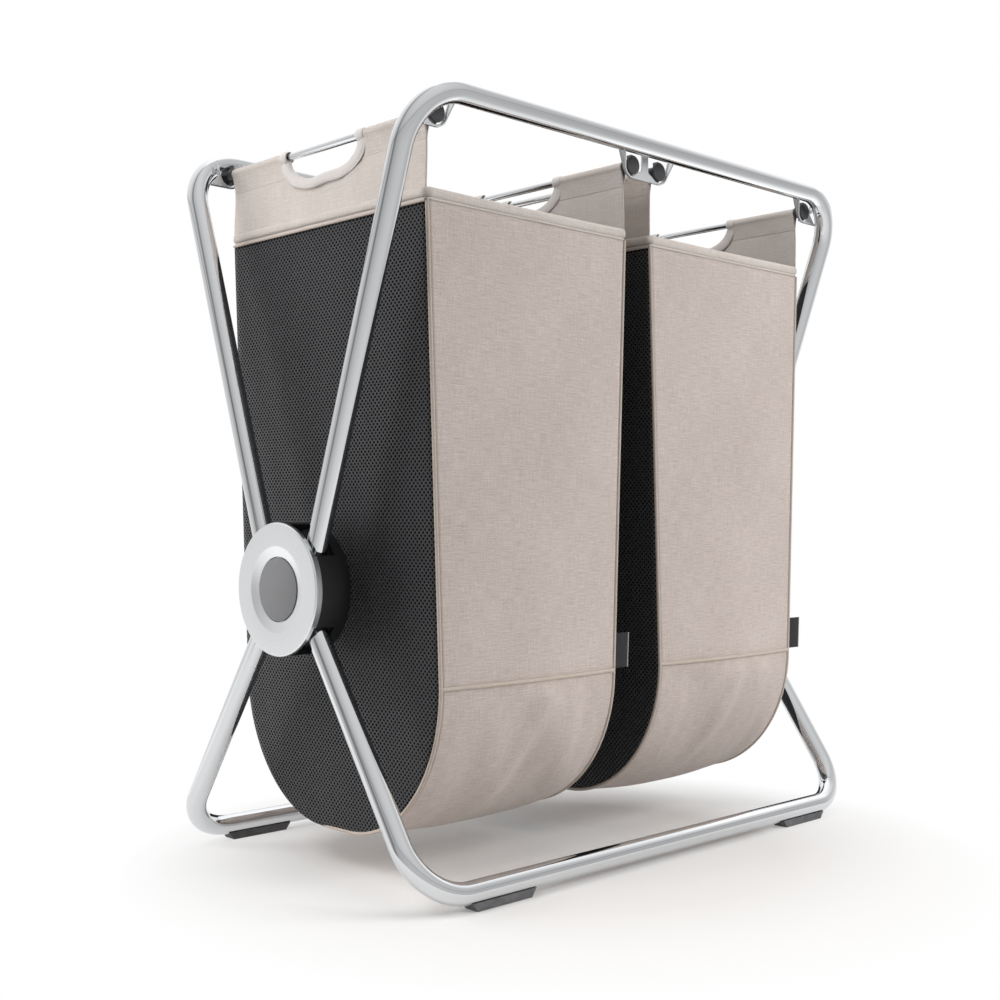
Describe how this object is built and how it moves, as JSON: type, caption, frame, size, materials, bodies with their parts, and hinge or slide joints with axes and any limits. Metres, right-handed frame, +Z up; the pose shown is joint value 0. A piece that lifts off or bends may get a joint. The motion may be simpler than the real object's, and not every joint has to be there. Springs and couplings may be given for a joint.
{
  "type": "laundry hamper with two bags on a folding frame",
  "caption": "Folding laundry hamper: chromed tube X-frame on round end hubs, with two lift-out bags of beige cloth and dark mesh hung from rods.",
  "frame": {"origin": "on the floor, under the middle of the hamper, half way between the end hubs", "axes": "+X along the rails towards the right-hand hub, -Y is the front, +Z up"},
  "size_m": [0.726, 0.4232, 0.7707],
  "materials": {
    "chrome_tube": "round steel tube, chrome plated and polished",
    "polished_sheet": "pressed steel sheet, plated and polished",
    "rod_chrome": "thin steel rod, chrome plated",
    "hub_disc": "satin metallised disc with a bright edge",
    "hub_cap": "flat mid-grey moulded cap",
    "hub_black": "black moulded plastic, fine grain",
    "fastener_steel": "zinc-plated bolt and nut",
    "foot_grey": "dark grey non-marking pad",
    "plug_black": "black plug with a dark grey face",
    "beige_cloth": "plain-woven beige polyester canvas",
    "mesh_cloth": "charcoal warp-knit mesh with small staggered holes",
    "tag_cloth": "dark woven tag, bare"
  },
  "bodies": {
    "hub_pivots": {"hub_cover_left": "hub_disc", "hub_cap_left": "hub_cap", "hub_housing_left": "hub_black", "pivot_bolt_left": "fastener_steel", "pivot_nut_left": "fastener_steel", "hub_cover_right": "hub_disc", "hub_cap_right": "hub_cap", "hub_housing_right": "hub_black", "pivot_bolt_right": "fastener_steel", "pivot_nut_right": "fastener_steel"},
    "frame_a": {"top_rail_front": "chrome_tube", "bottom_rail_rear": "chrome_tube", "carrier_a_left": "hub_black", "foot_rear_left": "foot_grey", "carrier_a_right": "hub_black", "foot_rear_right": "foot_grey", "cradle_front_left": "polished_sheet", "cradle_front_middle": "polished_sheet", "cradle_front_right": "polished_sheet"},
    "frame_b": {"top_rail_rear": "chrome_tube", "bottom_rail_front": "chrome_tube", "carrier_b_left": "hub_black", "foot_front_left": "foot_grey", "carrier_b_right": "hub_black", "foot_front_right": "foot_grey", "cradle_rear_left": "polished_sheet", "cradle_rear_middle": "polished_sheet", "cradle_rear_right": "polished_sheet"},
    "bag_left": {"mesh_end_outer_left": "mesh_cloth", "flap_outer_left": "beige_cloth", "piping_outer_left": "beige_cloth", "rod_outer_left": "rod_chrome", "rod_plug_outer_front_left": "plug_black", "rod_plug_outer_rear_left": "plug_black", "mesh_end_inner_left": "mesh_cloth", "flap_inner_left": "beige_cloth", "piping_inner_left": "beige_cloth", "rod_inner_left": "rod_chrome", "rod_plug_inner_front_left": "plug_black", "rod_plug_inner_rear_left": "plug_black", "bag_wrap_left": "beige_cloth", "hem_band_left": "beige_cloth", "tag_left": "tag_cloth"},
    "bag_right": {"mesh_end_outer_right": "mesh_cloth", "flap_outer_right": "beige_cloth", "piping_outer_right": "beige_cloth", "rod_outer_right": "rod_chrome", "rod_plug_outer_front_right": "plug_black", "rod_plug_outer_rear_right": "plug_black", "mesh_end_inner_right": "mesh_cloth", "flap_inner_right": "beige_cloth", "piping_inner_right": "beige_cloth", "rod_inner_right": "rod_chrome", "rod_plug_inner_front_right": "plug_black", "rod_plug_inner_rear_right": "plug_black", "bag_wrap_right": "beige_cloth", "hem_band_right": "beige_cloth", "tag_right": "tag_cloth"}
  },
  "joints": [
    {"name": "bag_left_lift", "type": "slide", "parent": "hub_pivots", "child": "bag_left", "axis": [0, 0, 1], "range_m": [0, 1.326], "deforming": ["mesh_end_outer_left", "mesh_end_inner_left", "flap_outer_left", "flap_inner_left", "piping_outer_left", "piping_inner_left", "bag_wrap_left", "hem_band_left", "tag_left"]},
    {"name": "bag_right_lift", "type": "slide", "parent": "hub_pivots", "child": "bag_right", "axis": [0, 0, 1], "range_m": [0, 1.326], "deforming": ["mesh_end_outer_right", "mesh_end_inner_right", "flap_outer_right", "flap_inner_right", "piping_outer_right", "piping_inner_right", "bag_wrap_right", "hem_band_right", "tag_right"]},
    {"name": "frame_a_fold", "type": "hinge", "parent": "hub_pivots", "child": "frame_a", "pos_m": [0, 0, 0.2925], "axis": [-1, 0, 0], "range_deg": [0, 19]},
    {"name": "frame_b_fold", "type": "hinge", "parent": "hub_pivots", "child": "frame_b", "pos_m": [0, 0, 0.2925], "axis": [1, 0, 0], "range_deg": [0, 19]}
  ],
  "couplings": [
    {"joint": "bag_right_lift", "follows": "bag_left_lift", "ratio": 1},
    {"joint": "frame_a_fold", "follows": "bag_left_lift", "rad_per_m": 0.25},
    {"joint": "frame_b_fold", "follows": "bag_left_lift", "rad_per_m": 0.25}
  ]
}
